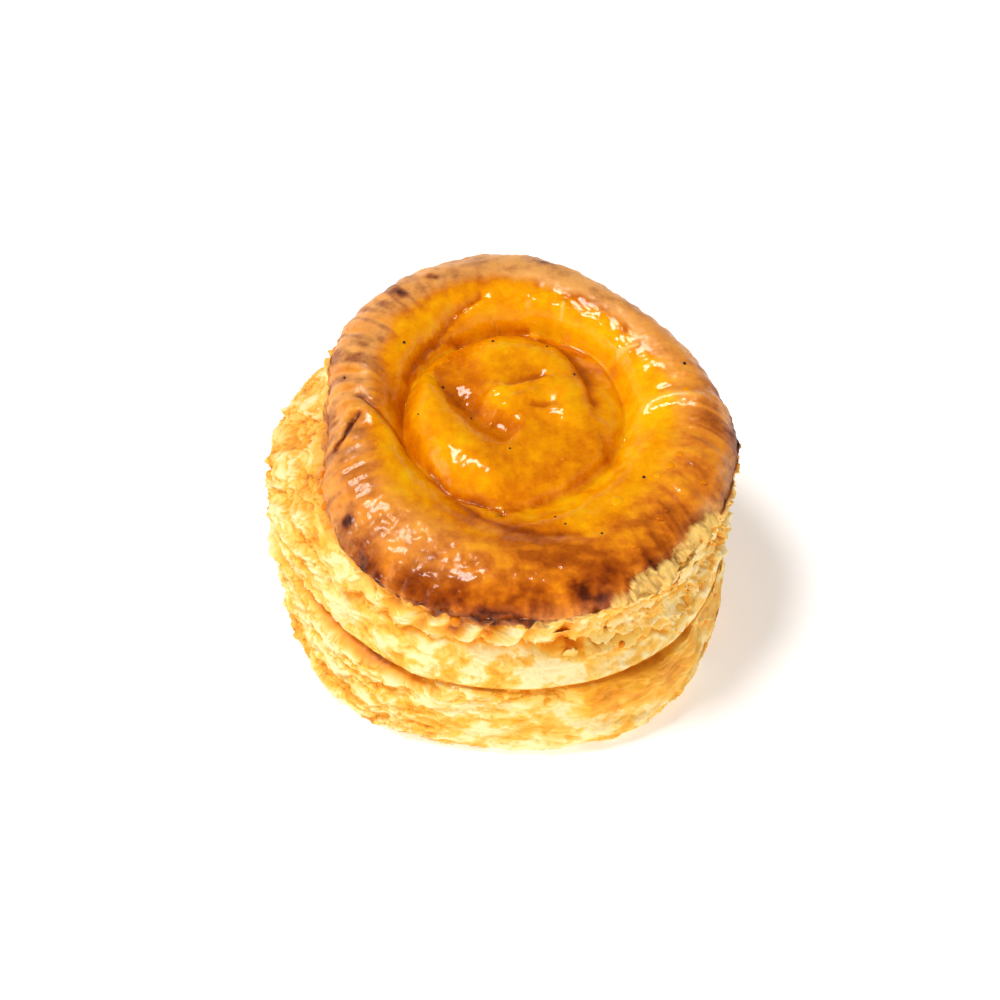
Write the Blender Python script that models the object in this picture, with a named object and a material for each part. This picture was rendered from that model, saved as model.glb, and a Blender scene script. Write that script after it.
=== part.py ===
"""A round glazed puff pastry pie: two risen discs of flaky dough, baked one on the other.

The base stands on the table. The lid is pressed down in a ring round the filling, so that a
swirled dome stands inside a sunken groove, and a broad shoulder runs round both to the lip.
Each disc is one solid, a sphere whose rings are laid on the named levels below.

Metres, +Z up. The origin is under the middle of the pie on the table, the front is at -Y.
Angles are in degrees, anticlockwise from +X as seen from above.
"""

import collections
import math

import bmesh
import bpy
import numpy as np

# Heights of the main forms above the table, at the middle of their tilt
GROOVE_HEIGHT = 0.0437
CREST_HEIGHT = 0.0495
CREST_TILT = 0.0047
CREST_TOWARDS = 95
LIP_HEIGHT = 0.0428
SEAM_HEIGHT = 0.0192
DOME_RISE = 0.0042

# Higher powers keep the dome and the shoulder flat for longer before they turn down
DOME_POWERS = (3.2, 0.8)
SHOULDER_POWERS = (2.2, 0.6)

# The crevice between the two discs: how far in they meet, and the air left there and at the rim
SEAM_RADIUS = 0.0385
SEAM_GAP = 0.0003
RIM_GAP = 0.0009

# How far out from the groove, from 0 to 1 at the lip, the shoulder has its crest
CREST_PLACE = 0.36

# Relief of the sides: the dough's layers, its crumples, and the scallops under the glaze
LAYER_PITCH = 0.0042
LAYER_REACH = 0.0011
LAYER_SAG = 0.0016
SAG_SIZE = 0.0130
TEAR_SIZE = 0.0075
CRUMPLE_SIZE = 0.0048
CRUMPLE_REACH = 0.0006
SCALLOPS = 32
SCALLOP_REACH = 0.0009

# Fineness of the two meshes: columns round them, and rings over the top, the sides and the faces between
LID_COLUMNS = 128
DOME_PLACES = (0.14, 0.28, 0.41, 0.53, 0.64, 0.74, 0.84, 0.92, 0.97)
SHOULDER_PLACES = (0.0, 0.06, 0.15, 0.26, 0.38, 0.52, 0.66, 0.79, 0.89, 0.96, 1.0)
LID_SIDE_ROWS = 11
BASE_COLUMNS = 96
BASE_SIDE_ROWS = 14
FACE_ROWS = 3

# Where the scallops and the smooth belt lie on the lid's side, counted in levels, and how deep they are
SCALLOP_BAND = (1.3, 0.7)
SMOOTH_BAND = (4.2, 0.8)
BELT_SMOOTHNESS = 0.7

# One level of a disc: a circle with bulges (towards, width, size), tilted up (towards, size)
Level = collections.namedtuple("Level", "centre radius height tilt bulges")

GROOVE = Level((0.0028, 0.0048), 0.0228, GROOVE_HEIGHT, (85, 0.0014), [(60, 40, 0.0005)])
LIP = Level(
    (0.0035, 0.0005),
    0.0433,
    LIP_HEIGHT,
    (93, 0.0052),
    [
        (178, 16, -0.0046),
        (-125, 16, 0.0014),
        (-55, 14, 0.0020),
        (-8, 14, 0.0018),
        (52, 20, -0.0034),
        (100, 22, 0.0044),
        (138, 14, 0.0022),
    ],
)
SEAM_TILT = (130, 0.0020)
HEM_BULGES = [(-42, 22, 0.0030), (0, 20, 0.0015), (-160, 20, -0.0012), (173, 14, 0.0036)]
LID_LEVELS = [
    LIP,
    Level(
        (0.0030, 0.0003),
        0.0425,
        0.0392,
        (95, 0.0047),
        [(-90, 30, -0.0010), (0, 30, 0.0018), (180, 25, -0.0012), (52, 22, -0.0028), (110, 20, 0.0028)],
    ),
    Level(
        (0.0012, 0.0003),
        0.0440,
        0.0345,
        (105, 0.0036),
        [(-90, 30, -0.0026), (0, 30, 0.0014), (168, 22, 0.0022), (52, 22, -0.0020), (105, 20, 0.0015)],
    ),
    Level(
        (0.0, 0.0003),
        0.0440,
        0.0300,
        (110, 0.0030),
        [(-90, 30, -0.0028), (0, 30, 0.0024), (170, 20, 0.0038), (52, 22, -0.0010)],
    ),
    Level((0.0, 0.0), 0.0450, 0.0246, (120, 0.0026), [(-90, 30, -0.0020), (-10, 35, 0.0026), (173, 18, 0.0032)]),
    Level((0.0, 0.0), 0.0446, SEAM_HEIGHT, SEAM_TILT, HEM_BULGES),
]
SEAM = Level((0.0, 0.0), SEAM_RADIUS, SEAM_HEIGHT + 0.0006, SEAM_TILT, [])
BASE_LEVELS = [
    Level((0.0, 0.0), 0.0442, SEAM_HEIGHT - RIM_GAP, SEAM_TILT, HEM_BULGES),
    Level(
        (0.0, 0.0),
        0.0463,
        SEAM_HEIGHT - 0.0032,
        (135, 0.0022),
        [(-90, 25, -0.0006), (-48, 20, 0.0028), (-152, 14, -0.0012), (178, 16, 0.0028)],
    ),
    Level((0.0, 0.0), 0.0463, 0.0105, (150, 0.0014), [(-50, 22, 0.0040), (-128, 16, 0.0012), (-155, 14, -0.0010)]),
    Level((0.0, 0.0), 0.0464, 0.0046, (150, 0.0004), [(-53, 20, 0.0054), (-128, 18, 0.0020), (-90, 16, 0.0006)]),
    Level((0.0, 0.0), 0.0450, 0.0, (0, 0.0), [(-53, 20, 0.0048), (-128, 18, 0.0018), (-90, 16, 0.0008)]),
]

# Folds of the glazed top: the line that each follows, its width, and its depth or, plus, its rise
VALLEY = [(-0.0112, 0.0185), (-0.0101, 0.0126), (-0.0073, 0.0069), (-0.0029, 0.0011), (0.0014, -0.0003)]
OUTER_LOBE = [(-0.0150, 0.0120), (-0.0148, 0.0020), (-0.0095, -0.0080), (-0.0020, -0.0125)]
KNOB = [(0.0040, 0.0085), (0.0085, 0.0120)]
KNOB_FOLD = [(0.0040, 0.0138), (0.0105, 0.0134)]
TERRACE_EDGE = [(0.0158, 0.0164), (0.0187, 0.0135), (0.0216, 0.0049), (0.0216, -0.0027), (0.0187, -0.0122)]
SHOULDER_CREASE = [(-0.0070, 0.0334), (-0.0144, 0.0219), (-0.0193, 0.0130)]
LEFT_PLEAT = [(-0.0335, -0.0039), (-0.0283, 0.0035)]
TOP_FOLDS = [
    (VALLEY, 0.0025, -0.0022),
    (OUTER_LOBE, 0.0045, 0.0008),
    (KNOB, 0.0040, 0.0010),
    (KNOB_FOLD, 0.0012, -0.0010),
    (TERRACE_EDGE, 0.0014, -0.0008),
    (SHOULDER_CREASE, 0.0018, -0.0009),
    (LEFT_PLEAT, 0.0016, -0.0008),
]

LID_COLOUR = (0.83, 0.36, 0.02)
BASE_COLOUR = (0.95, 0.68, 0.28)


def lobe(angle, towards, width):
    """A smooth bump round the pie: 1 at its angle, near 0 a few widths away."""
    return np.exp((np.cos(angle - math.radians(towards)) - 1) / math.radians(width) ** 2)


def ring(level, angle):
    """The points of a level at each angle."""
    reach = level.radius + sum(size * lobe(angle, towards, width) for towards, width, size in level.bulges)
    towards, size = level.tilt
    x = level.centre[0] + reach * np.cos(angle)
    y = level.centre[1] + reach * np.sin(angle)
    z = level.height + size * np.cos(angle - math.radians(towards))
    return np.stack([x, y, z], axis=-1)


def angles(columns):
    return np.arange(columns) * (2 * math.pi / columns)


def smooth_step(value, low, high):
    part = np.clip((value - low) / (high - low), 0, 1)
    return part * part * (3 - 2 * part)


def scatter(cell, seed):
    """A fixed number from 0 to 1 for each cell of a grid, with no pattern from cell to cell."""
    mixed = np.sin(cell @ np.array([127.1, 311.7, 74.7]) + seed * 53.3) * 43758.5453
    return mixed - np.floor(mixed)


def noise(points, size, seed):
    """Smooth noise from -1 to 1, whose lumps are about the size across."""
    spot = points / size
    corner = np.floor(spot)
    part = spot - corner
    part = part * part * (3 - 2 * part)
    total = np.zeros(len(points))
    for step in np.ndindex(2, 2, 2):
        share = np.prod(np.where(np.array(step) == 1, part, 1 - part), axis=1)
        total += share * scatter(corner + np.array(step), seed)
    return 2 * total - 1


def near_line(x, y, line, width):
    """1 on a line over the top, falling smoothly to 0 beside it and past its ends."""
    nearest = np.full_like(x, np.inf)
    for (x0, y0), (x1, y1) in zip(line, line[1:]):
        run_x, run_y = x1 - x0, y1 - y0
        along = ((x - x0) * run_x + (y - y0) * run_y) / (run_x**2 + run_y**2)
        along = np.clip(along, 0, 1)
        nearest = np.minimum(nearest, np.hypot(x - x0 - along * run_x, y - y0 - along * run_y))
    return np.exp(-((nearest / width) ** 2))


def folded(points, strength):
    """The top's points, moved up and down by its folds."""
    x, y, z = points.T
    for line, width, depth in TOP_FOLDS:
        z = z + strength * depth * near_line(x, y, line, width)
    return np.stack([x, y, z], axis=-1)


def dome_ring(angle, place):
    """A ring of the dome, from 0 at its middle to 1 in the groove."""
    groove = ring(GROOVE, angle)
    middle = np.array([*GROOVE.centre, GROOVE.height])
    points = middle + (groove - middle) * place
    full, steep = DOME_POWERS
    points[:, 2] += DOME_RISE * (1 - place**full) ** steep
    return folded(points, 1.0)


def shoulder_ring(angle, place):
    """A ring of the shoulder, from 0 in the groove over the crest to 1 at the lip."""
    groove = ring(GROOVE, angle)
    lip = ring(LIP, angle)
    points = groove + (lip - groove) * place
    crest = CREST_HEIGHT + CREST_TILT * np.cos(angle - math.radians(CREST_TOWARDS))
    if place < CREST_PLACE:
        points[:, 2] = groove[:, 2] + (crest - groove[:, 2]) * smooth_step(place, -0.05, CREST_PLACE)
    else:
        full, steep = SHOULDER_POWERS
        fall = (place - CREST_PLACE) / (1 - CREST_PLACE)
        points[:, 2] = lip[:, 2] + (crest - lip[:, 2]) * (1 - fall**full) ** steep
    return folded(points, 1 - smooth_step(place, 0.7, 1.0))


def between(levels, angle, place):
    """A smooth ring at a place from 0, the first level, down to the last."""
    rings = [ring(level, angle) for level in levels]
    index = min(int(place), len(levels) - 2)
    part = place - index
    start, end = rings[index], rings[index + 1]
    before = rings[max(index - 1, 0)]
    after = rings[min(index + 2, len(levels) - 1)]
    slope_in = (end - before) / 2
    slope_out = (after - start) / 2
    bend = part * part * (3 - 2 * part)
    lead = part * (1 - part) ** 2
    trail = part * part * (1 - part)
    return start * (1 - bend) + end * bend + slope_in * lead - slope_out * trail


def band(place, middle, width):
    """1 at the middle of a band of the side, falling smoothly to 0 above and below it."""
    return math.exp(-(((place - middle) / width) ** 2))


def pushed_out(points, angle, reach):
    points = points.copy()
    points[:, 0] += reach * np.cos(angle)
    points[:, 1] += reach * np.sin(angle)
    return points


def flaky(points, angle, strength, seed):
    """A ring of the side, moved in and out by the torn edges of the layers and by crumples."""
    flat = points * np.array([1, 1, 0])
    height = (points[:, 2] + LAYER_SAG * noise(flat, SAG_SIZE, seed)) / LAYER_PITCH
    layer = np.floor(height)
    apart = flat + layer[:, None] * np.array([0, 0, TEAR_SIZE / 2])
    torn = LAYER_REACH * noise(apart, TEAR_SIZE, seed + 1) * np.sin(math.pi * (height - layer))
    crumpled = CRUMPLE_REACH * noise(points, CRUMPLE_SIZE, seed + 2)
    return pushed_out(points, angle, strength * (torn + crumpled))


def lid_rings():
    """The lid's rings, from the middle of its top over the lip to the middle of its underside."""
    angle = angles(LID_COLUMNS)
    rings = [dome_ring(angle, place) for place in DOME_PLACES]
    rings += [shoulder_ring(angle, place) for place in SHOULDER_PLACES]
    last = len(LID_LEVELS) - 1
    scallops = SCALLOP_REACH * np.cos(SCALLOPS * angle)
    for row in range(1, LID_SIDE_ROWS + 1):
        place = last * row / LID_SIDE_ROWS
        strength = 1 - BELT_SMOOTHNESS * band(place, *SMOOTH_BAND)
        points = flaky(between(LID_LEVELS, angle, place), angle, strength, seed=3)
        rings.append(pushed_out(points, angle, scallops * band(place, *SCALLOP_BAND)))
    return rings + bed_rings(angle, 0.0, inwards=True)


def bed_rings(angle, drop, inwards):
    """The flat face inside the seam where the discs meet."""
    seam = ring(SEAM, angle)
    middle = np.array([*SEAM.centre, SEAM.height])
    shares = [1 - step / FACE_ROWS for step in range(FACE_ROWS)]
    rings = [middle + (seam - middle) * share - np.array([0, 0, drop]) for share in shares]
    return rings if inwards else rings[::-1]


def base_rings():
    """The base's rings, from the middle of its upper face over its side to the middle of its foot."""
    angle = angles(BASE_COLUMNS)
    rings = bed_rings(angle, SEAM_GAP, inwards=False)
    last = len(BASE_LEVELS) - 1
    for row in range(BASE_SIDE_ROWS + 1):
        place = last * row / BASE_SIDE_ROWS
        near_foot = smooth_step(place, last - 0.4, last)
        points = flaky(between(BASE_LEVELS, angle, place), angle, 1 - near_foot, seed=11)
        points[:, 2] = np.maximum(points[:, 2], 0.0)
        rings.append(points)
    foot = rings[-1]
    rings += [foot * (1 - step / FACE_ROWS) for step in range(1, FACE_ROWS)]
    return rings


def solid_from_rings(name, rings, material, collection):
    """A sphere whose circles of latitude are laid on the rings, and its poles in their middles."""
    columns = len(rings[0])
    shape = bmesh.new()
    bmesh.ops.create_uvsphere(shape, u_segments=columns, v_segments=len(rings) + 1, radius=1.0)
    top = rings[0].mean(axis=0)
    bottom = rings[-1].mean(axis=0)
    for vertex in shape.verts:
        x, y, z = vertex.co
        if math.hypot(x, y) < 1e-6:
            vertex.co = top if z > 0 else bottom
            continue
        row = round(math.acos(z) / math.pi * (len(rings) + 1)) - 1
        column = round(math.atan2(y, x) / (2 * math.pi) * columns) % columns
        vertex.co = rings[row][column]
    bmesh.ops.triangulate(shape, faces=shape.faces)
    mesh = bpy.data.meshes.new(name)
    shape.to_mesh(mesh)
    shape.free()
    mesh.shade_smooth()
    mesh.materials.append(material)
    collection.objects.link(bpy.data.objects.new(name, mesh))


def pastry_material(name, colour, roughness):
    material = bpy.data.materials.new(name)
    material.use_nodes = True
    shader = material.node_tree.nodes["Principled BSDF"]
    shader.inputs["Base Color"].default_value = (*colour, 1)
    shader.inputs["Roughness"].default_value = roughness
    shader.inputs["Metallic"].default_value = 0.0
    return material


def main():
    for item in list(bpy.data.objects):
        bpy.data.objects.remove(item)
    pie = bpy.data.collections.new("puff_pastry_pie")
    bpy.context.scene.collection.children.link(pie)
    glazed_crust = pastry_material("glazed_crust", LID_COLOUR, roughness=0.25)
    flaky_crust = pastry_material("flaky_crust", BASE_COLOUR, roughness=0.6)
    solid_from_rings("pastry_lid", lid_rings(), glazed_crust, pie)
    solid_from_rings("pastry_base", base_rings(), flaky_crust, pie)


main()
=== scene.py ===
# %% [markdown]
# # A glazed puff pastry pie
# Two discs of layered dough are baked one on the other. The lower one is pale and flaky. The
# upper one is brushed with egg, so that it bakes to a glossy skin, and it is pressed down in a
# ring round its middle. This notebook dresses the plain model of that pie, step by step.
# First we open the model.

# %% Open the model
import collections
import math

import bpy
import numpy as np
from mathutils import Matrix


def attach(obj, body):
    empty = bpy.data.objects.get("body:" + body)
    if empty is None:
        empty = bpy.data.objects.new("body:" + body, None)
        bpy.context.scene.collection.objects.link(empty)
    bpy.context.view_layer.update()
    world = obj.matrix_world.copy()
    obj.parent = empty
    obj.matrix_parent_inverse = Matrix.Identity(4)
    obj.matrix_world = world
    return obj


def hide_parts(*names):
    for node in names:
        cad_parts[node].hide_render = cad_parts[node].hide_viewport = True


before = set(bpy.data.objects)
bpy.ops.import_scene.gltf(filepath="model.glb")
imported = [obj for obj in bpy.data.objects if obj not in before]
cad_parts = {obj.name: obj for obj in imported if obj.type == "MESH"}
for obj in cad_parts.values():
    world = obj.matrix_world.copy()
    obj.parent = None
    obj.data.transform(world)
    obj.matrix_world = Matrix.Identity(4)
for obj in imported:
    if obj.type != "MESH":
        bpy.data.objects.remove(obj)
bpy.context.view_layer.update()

# %% [markdown]
# ## The camera
# The pie was photographed from the front, well above it, with a long lens. A camera that looks
# down at 49 degrees from 60 cm shows the same ellipses. The lens follows from how much of the
# table the square picture takes in: 21 cm at the pie.

# %% Place the camera
MM = 0.001
PHOTO_SPAN = 210 * MM
CAMERA_DISTANCE = 600 * MM
CAMERA_ELEVATION = math.radians(49)
CAMERA_TARGET = np.array([0, 0, 24]) * MM


def placed(name, data):
    made = bpy.data.objects.new(name, data)
    bpy.context.scene.collection.objects.link(made)
    return made


camera = placed("camera", bpy.data.cameras.new("camera"))
bpy.context.scene.camera = camera
towards_camera = np.array([0, -math.cos(CAMERA_ELEVATION), math.sin(CAMERA_ELEVATION)])
camera.location = CAMERA_TARGET + towards_camera * CAMERA_DISTANCE
camera.rotation_euler = (math.pi / 2 - CAMERA_ELEVATION, 0, 0)
camera.data.lens = camera.data.sensor_width * CAMERA_DISTANCE / PHOTO_SPAN
camera.data.clip_start = 10 * MM
print("lens, mm:", round(camera.data.lens, 1))

# %% [markdown]
# ## The levels of the pie
# The pie is nearly turned, so each of its edges is a wavy circle: the groove, the lip of the
# glazed lid, the belt above the seam, the foot. We describe each as a level, with a centre, a
# radius, a height, a tilt, and a few bulges, in millimetres. A tilt is the direction of its
# high side and a rise, a bulge is a direction, a width in degrees and a size. These are the
# model's own levels, so what we build on them lies where the model's solids lie.

# %% Describe the levels
Level = collections.namedtuple("Level", "centre radius height tilt bulges")

GROOVE = Level((2.8, 4.8), 22.8, 43.7, (85, 1.4), [(60, 40, 0.5)])
LIP_BULGES = [
    (178, 16, -4.6), (-125, 16, 1.4), (-55, 14, 2.0), (-8, 14, 1.8),
    (52, 20, -3.4), (100, 22, 4.4), (138, 14, 2.2),
]
LIP = Level((3.5, 0.5), 43.3, 42.8, (93, 5.2), LIP_BULGES)
SEAM_HEIGHT = 19.2
SEAM_TILT = (130, 2.0)
HEM_BULGES = [(-42, 22, 3.0), (0, 20, 1.5), (-160, 20, -1.2), (173, 14, 3.6)]
TUCK_BULGES = [(-90, 30, -1.0), (0, 30, 1.8), (180, 25, -1.2), (52, 22, -2.8), (110, 20, 2.8)]
FRILL_BULGES = [(-90, 30, -2.6), (0, 30, 1.4), (168, 22, 2.2), (52, 22, -2.0), (105, 20, 1.5)]
CREASE_BULGES = [(-90, 30, -2.8), (0, 30, 2.4), (170, 20, 3.8), (52, 22, -1.0)]
LID_LEVELS = [
    LIP,
    Level((3.0, 0.3), 42.5, 39.2, (95, 4.7), TUCK_BULGES),
    Level((1.2, 0.3), 44.0, 34.5, (105, 3.6), FRILL_BULGES),
    Level((0.0, 0.3), 44.0, 30.0, (110, 3.0), CREASE_BULGES),
    Level((0.0, 0.0), 45.0, 24.6, (120, 2.6), [(-90, 30, -2.0), (-10, 35, 2.6), (173, 18, 3.2)]),
    Level((0.0, 0.0), 44.6, SEAM_HEIGHT, SEAM_TILT, HEM_BULGES),
]
SEAM = Level((0.0, 0.0), 38.5, SEAM_HEIGHT + 0.6, SEAM_TILT, [])
SHELF_BULGES = [(-90, 25, -0.6), (-48, 20, 2.8), (-152, 14, -1.2), (178, 16, 2.8)]
BASE_LEVELS = [
    Level((0.0, 0.0), 44.2, SEAM_HEIGHT - 0.9, SEAM_TILT, HEM_BULGES),
    Level((0.0, 0.0), 46.3, SEAM_HEIGHT - 3.2, (135, 2.2), SHELF_BULGES),
    Level((0.0, 0.0), 46.3, 10.5, (150, 1.4), [(-50, 22, 4.0), (-128, 16, 1.2), (-155, 14, -1.0)]),
    Level((0.0, 0.0), 46.4, 4.6, (150, 0.4), [(-53, 20, 5.4), (-128, 18, 2.0), (-90, 16, 0.6)]),
    Level((0.0, 0.0), 45.0, 0.0, (0, 0.0), [(-53, 20, 4.8), (-128, 18, 1.8), (-90, 16, 0.8)]),
]
print("levels of the lid and the base:", len(LID_LEVELS), len(BASE_LEVELS))

# %% [markdown]
# A level gives a point for each angle round the pie. Between two levels we don't want a corner,
# so a smooth curve runs down through all of them. Each helper takes whole arrays, so that one
# call places a hundred thousand points.

# %% Turn levels into points
def lobe(angle, towards, width):
    """A bump round the pie: 1 at its angle, near 0 a few widths away."""
    return np.exp((np.cos(angle - math.radians(towards)) - 1) / math.radians(width) ** 2)


def ring(level, angle):
    reach = level.radius + sum(size * lobe(angle, towards, width) for towards, width, size in level.bulges)
    towards, size = level.tilt
    x = level.centre[0] + reach * np.cos(angle)
    y = level.centre[1] + reach * np.sin(angle)
    z = level.height + size * np.cos(angle - math.radians(towards))
    return np.stack([x, y, z], axis=-1) * MM


def between(levels, angle, place):
    """Points at a place from 0, the first level, to the last, on a smooth curve through all."""
    angle, place = np.broadcast_arrays(angle, place)
    rings = np.stack([ring(level, angle) for level in levels])
    last = len(levels) - 1
    index = np.clip(place.astype(int), 0, last - 1)
    part = (place - index)[..., None]

    def pick(shift):
        which = np.clip(index + shift, 0, last)[None, ..., None]
        return np.take_along_axis(rings, which, axis=0)[0]

    before, start, end, after = (pick(shift) for shift in (-1, 0, 1, 2))
    bend = part * part * (3 - 2 * part)
    lead = (end - before) / 2 * part * (1 - part) ** 2
    trail = (after - start) / 2 * part * part * (1 - part)
    return start * (1 - bend) + end * bend + lead - trail


def outward(angle):
    return np.stack([np.cos(angle), np.sin(angle), 0 * angle], axis=-1)


test_angle = np.radians(-90)
print("front of the lip, mm:", np.round(ring(LIP, test_angle) / MM, 1))

# %% [markdown]
# ## Noise
# Dough never rises evenly. Smooth noise in space gives the lumps: a grid of random slopes,
# blended between the corners. Noise in space has no seam where a ring closes. We add a few
# octaves for a rough look, and a second kind, the distance to scattered points, whose sharp
# valleys look like creased paper.

# %% Make noise
THREE_TURNS = (0.0, 0.37, 0.71)


def smooth_step(value, low, high):
    part = np.clip((value - low) / (high - low), 0, 1)
    return part * part * (3 - 2 * part)


def scatter(cell, seed):
    """A fixed number from 0 to 1 for each cell of a grid."""
    wave = np.sin(cell[..., 0] * 127.1 + cell[..., 1] * 311.7 + cell[..., 2] * 74.7 + seed * 53.3)
    mixed = wave * 43758.5453
    return mixed - np.floor(mixed)


def scatter_each(cell, seed, turns):
    """One such number for each turn, along a last axis."""
    return np.stack([scatter(cell, seed + turn) for turn in turns], axis=-1)


def noise(points, size, seed):
    """Smooth noise, about -1 to 1, whose lumps are about the size across."""
    spot = points / size + seed * 7.31
    corner = np.floor(spot)
    part = spot - corner
    weight = part**3 * (part * (part * 6 - 15) + 10)
    total = np.zeros(points.shape[:-1])
    for step in np.ndindex(2, 2, 2):
        cell = corner + step
        slope = scatter_each(cell, seed, THREE_TURNS) * 2 - 1
        share = np.prod(np.where(np.array(step) == 1, weight, 1 - weight), axis=-1)
        total += share * np.sum(slope * (part - step), axis=-1)
    return total * 1.6


def rough(points, size, seed, octaves=3):
    return sum(noise(points, size / 2**turn, seed + turn) / 2**turn for turn in range(octaves))


def creases(points, size, seed):
    """0 in sharp valleys between cells, rising to about 1 in their middles."""
    spot = points / size
    corner = np.floor(spot)
    first = np.full(points.shape[:-1], 9.0)
    second = first.copy()
    for step in np.ndindex(3, 3, 3):
        cell = corner + np.array(step) - 1
        centre = cell + scatter_each(cell, seed, THREE_TURNS)
        gap = np.linalg.norm(spot - centre, axis=-1)
        second = np.minimum(second, np.maximum(first, gap))
        first = np.minimum(first, gap)
    return np.clip(second - first, 0, 1)


def crinkles(points, size, seed):
    """Crumpled thin sheets: 1 on their sharp ridges, near 0 in the smooth hollows between."""
    total = 0
    for turn in range(3):
        ridge = np.clip(1 - 2.2 * np.abs(noise(points, size / 1.9**turn, seed + turn)), 0, 1)
        total = total + ridge**1.5 * 0.5**turn
    return total / 1.75


def torn_layers(points, size, count, seed):
    """Thin sheets, each torn along a wandering edge: what share of them covers a point, and how
    close it lies outside an edge, both from 0 to 1."""
    cover = np.zeros(points.shape[:-1])
    below = np.zeros(points.shape[:-1])
    for layer in range(count):
        field = noise(points, size, seed + layer) + 0.20 * noise(points, size / 5, seed + 20 + layer)
        field += 0.08 * noise(points, size / 12, seed + 40 + layer)
        cover += smooth_step(field, -0.02, 0.03) / count
        below = np.maximum(below, np.exp((field + 0.02) / 0.09) * (field < -0.02))
    return cover, below


print("noise at three points:", np.round(noise(np.eye(3) * 0.7, 0.5, seed=1), 2))

# %% [markdown]
# ## Closed skins
# Every part of the pie is a closed skin laid on rings, as on a globe: a point at the top, rings
# downwards, a point at the bottom. We build the faces once from the counts of rings and
# columns, for one skin or for many in one mesh. Values that the finish needs at each point,
# such as how brown it is, ride along as attributes of the mesh.

# %% Build a closed skin
NO_TRIANGLES = np.zeros((0, 3), int)


def mesh_from(name, points, quads, triangles=NO_TRIANGLES, **fields):
    mesh = bpy.data.meshes.new(name)
    corners = np.concatenate([quads.ravel(), triangles.ravel()]).astype(np.int32)
    starts = np.concatenate([np.arange(len(quads)) * 4, 4 * len(quads) + np.arange(len(triangles)) * 3])
    mesh.vertices.add(len(points))
    mesh.vertices.foreach_set("co", points.astype(np.float32).ravel())
    mesh.loops.add(len(corners))
    mesh.loops.foreach_set("vertex_index", corners)
    mesh.polygons.add(len(starts))
    mesh.polygons.foreach_set("loop_start", starts.astype(np.int32))
    mesh.update(calc_edges=True)
    mesh.shade_smooth()
    for field, values in fields.items():
        attribute = mesh.attributes.new(field, "FLOAT", "POINT")
        attribute.data.foreach_set("value", values.astype(np.float32).ravel())
    return placed(name, mesh)


def closed_skin(name, rings, **fields):
    """One mesh of one or more skins of rings, each closed by a point at its top and its bottom."""
    skins = rings.reshape(-1, *rings.shape[-3:])
    count, rows, columns = skins.shape[:3]
    index = np.arange(count * rows * columns).reshape(count, rows, columns)
    beside = np.roll(index, -1, axis=2)
    quads = np.stack([index[:, :-1], index[:, 1:], beside[:, 1:], beside[:, :-1]], axis=-1).reshape(-1, 4)
    tops = index.size + np.arange(count)[:, None] + 0 * index[:, 0]
    caps = np.stack([tops, index[:, 0], beside[:, 0]], axis=-1).reshape(-1, 3)
    floors = np.stack([tops + count, beside[:, -1], index[:, -1]], axis=-1).reshape(-1, 3)

    def with_ends(values):
        ends = [values[:, 0].mean(axis=1), values[:, -1].mean(axis=1)]
        return np.concatenate([values.reshape(-1, *values.shape[3:]), *ends])

    fields = {field: with_ends(np.broadcast_to(values, index.shape)) for field, values in fields.items()}
    triangles = np.concatenate([caps, floors])
    print(f"{name}: {len(quads) + len(triangles)} faces")
    return mesh_from(name, with_ends(skins), quads, triangles, **fields)


def round_angles(columns):
    return np.arange(columns) * (2 * math.pi / columns)


# %% [markdown]
# ## The pressed top
# Inside the groove stands a dome, and round it runs a broad shoulder that falls to the lip. We
# run one place outwards: 0 in the middle of the dome, 1 in the groove, 2 at the lip.

# %% Shape the dome and the shoulder
def crest_place(angle):
    """How far out from the groove the shoulder is highest: furthest at the right, where it is flat."""
    return 0.38 + 0.20 * lobe(angle, -10, 36) + 0.10 * lobe(angle, -95, 35) + 0.20 * lobe(angle, 58, 30)


def plain_top(angle, place):
    groove, lip = ring(GROOVE, angle), ring(LIP, angle)
    middle = np.array([*GROOVE.centre, GROOVE.height]) * MM
    inner = np.clip(place, 0, 1)[..., None]
    outer = np.clip(place - 1, 0, 1)[..., None]
    points = middle + (groove - middle) * inner + (lip - groove) * outer
    dome = groove[..., 2] * inner[..., 0] + middle[2] * (1 - inner[..., 0])
    dome += 4.2 * MM * (1 - inner[..., 0] ** 3.2) ** 0.8
    crest = (49.5 + 4.7 * np.cos(angle - math.radians(95))) * MM
    run = outer[..., 0]
    top = crest_place(angle)
    short = 1 - np.clip(run / top, 0, 1)
    climb = crest - (crest - groove[..., 2]) * (0.5 * short**4.5 + 0.5 * short**1.5)
    fall = np.clip((run - top) / (1 - top), 0, 1)
    flat = 0.75 * lobe(angle, -128, 24)
    left = (1 - flat) * (1 - fall**2.2) ** 0.6 + flat * (1 - fall**1.3)
    drop = lip[..., 2] + (crest - lip[..., 2]) * left
    shoulder = np.where(run < top, climb, drop)
    points[..., 2] = np.where(place <= 1, dome, shoulder)
    return points


crest = plain_top(np.radians(90), np.array(1.36))
print("back of the crest, mm:", np.round(crest / MM, 1))

# %% [markdown]
# The soft lid folded as it was pressed and as it rose. Each fold has a kind, a width, a height
# and a line over the top, in millimetres as seen from above. A valley is round, a crease is a
# sharp V, a ridge stands up, and a step is higher on the right of its line than on the left.
# Lines that the browning follows again later get a name here.

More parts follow.
